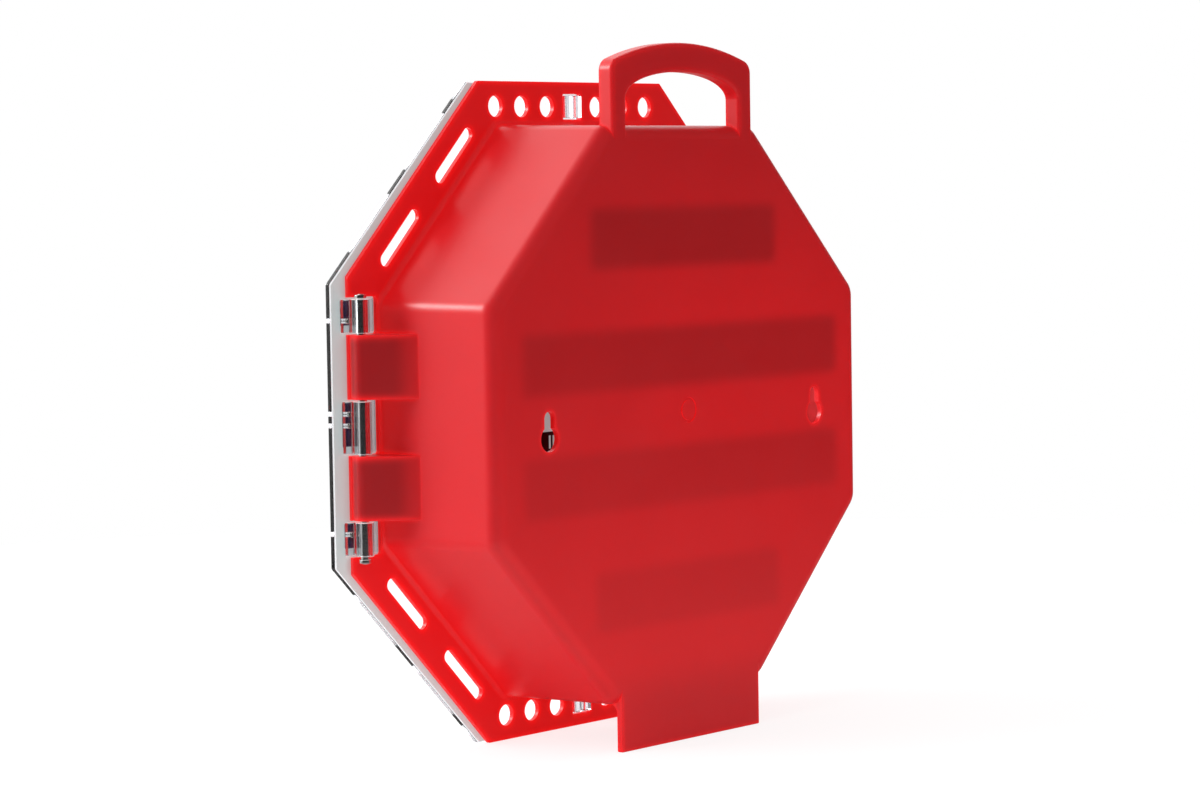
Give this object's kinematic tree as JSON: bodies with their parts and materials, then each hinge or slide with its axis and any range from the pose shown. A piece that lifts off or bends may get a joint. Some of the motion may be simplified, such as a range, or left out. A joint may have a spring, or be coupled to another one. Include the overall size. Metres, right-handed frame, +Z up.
{
  "type": "group lockout box",
  "caption": "Octagonal moulded lockout box with a carrying handle and wall keyholes, a flange with rows of padlock holes and slots, and a clear hinged door with a printed sheet.",
  "frame": {"origin": "middle of the box's footprint, on the surface that it stands on", "axes": "+Z up, -Y towards the door, +Y towards the flat back, +X towards the hinge side"},
  "size_m": [0.352, 0.0842, 0.361],
  "materials": {
    "red_plastic": "glossy, slightly translucent red",
    "clear_plastic": "clear polished",
    "printed_sheet": "satin print, pale back",
    "polished_steel": "polished",
    "dark_plastic": "satin dark grey"
  },
  "bodies": {
    "body": {"body_shell": "red_plastic", "hinge_pin": "polished_steel", "pin_ring_top": "polished_steel", "pin_ring_bottom": "polished_steel", "key_rail_1": "dark_plastic", "key_rail_2": "dark_plastic", "key_rail_3": "dark_plastic", "key_rail_4": "dark_plastic"},
    "door": {"door_panel": "clear_plastic", "door_label": "printed_sheet", "hinge_knuckle_top": "clear_plastic", "hinge_knuckle_middle": "clear_plastic", "hinge_knuckle_bottom": "clear_plastic", "knuckle_rivet_1": "polished_steel", "knuckle_rivet_2": "polished_steel", "knuckle_rivet_3": "polished_steel", "knuckle_rivet_4": "polished_steel", "snap_tab_top": "clear_plastic", "snap_tab_bottom": "clear_plastic", "snap_tab_latch": "clear_plastic"}
  },
  "joints": [
    {"name": "door_hinge", "type": "hinge", "parent": "body", "child": "door", "pos_m": [0.16345, -0.02935, 0.1707], "axis": [0, 0, 1], "range_deg": [0, 150]}
  ]
}
